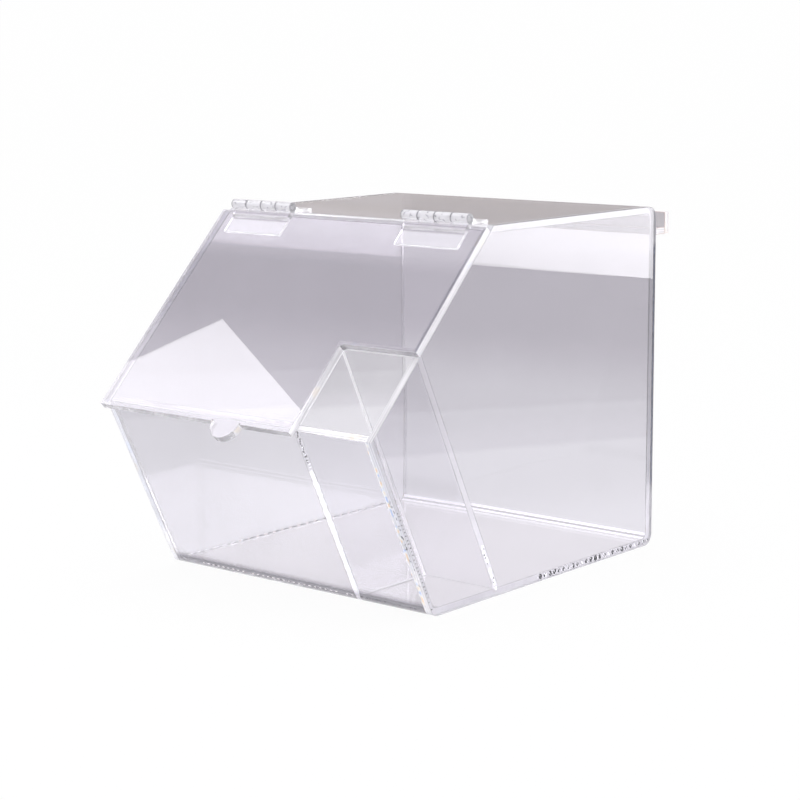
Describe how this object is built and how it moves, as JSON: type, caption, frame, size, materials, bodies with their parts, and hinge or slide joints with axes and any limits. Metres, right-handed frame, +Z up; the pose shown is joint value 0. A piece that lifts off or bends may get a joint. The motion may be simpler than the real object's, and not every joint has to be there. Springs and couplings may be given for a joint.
{
  "type": "candy bin",
  "caption": "Clear acrylic countertop candy bin with a slanted lift-up lid, a finger tab, an open scoop pocket at the front right and a rear channel.",
  "frame": {"origin": "centre of the floor's underside, between the front bottom corner and the back face", "axes": "+Z up, -Y towards the lid and nose, +X towards the scoop pocket side"},
  "size_m": [0.19, 0.278, 0.2051],
  "materials": {
    "acrylic_sheet": "clear cast acrylic sheet with polished edges",
    "hinge_acrylic": "clear moulded acrylic",
    "hinge_pin": "clear extruded rod"
  },
  "bodies": {
    "bin": {"body_wrap": "acrylic_sheet", "side_panel_left": "acrylic_sheet", "side_panel_right": "acrylic_sheet", "pocket_side_wall": "acrylic_sheet", "pocket_back_wall": "acrylic_sheet", "rear_rail_web": "acrylic_sheet", "rear_rail_lip": "acrylic_sheet", "hinge_left_top_leaf": "hinge_acrylic", "hinge_left_pin": "hinge_pin", "hinge_right_top_leaf": "hinge_acrylic", "hinge_right_pin": "hinge_pin"},
    "lid": {"lid": "acrylic_sheet", "hinge_left_lid_leaf": "hinge_acrylic", "hinge_right_lid_leaf": "hinge_acrylic"}
  },
  "joints": [
    {"name": "lid_hinge", "type": "hinge", "parent": "bin", "child": "lid", "pos_m": [0, -0.05855, 0.2024], "axis": [-1, 0, 0], "range_deg": [0, 227]}
  ]
}
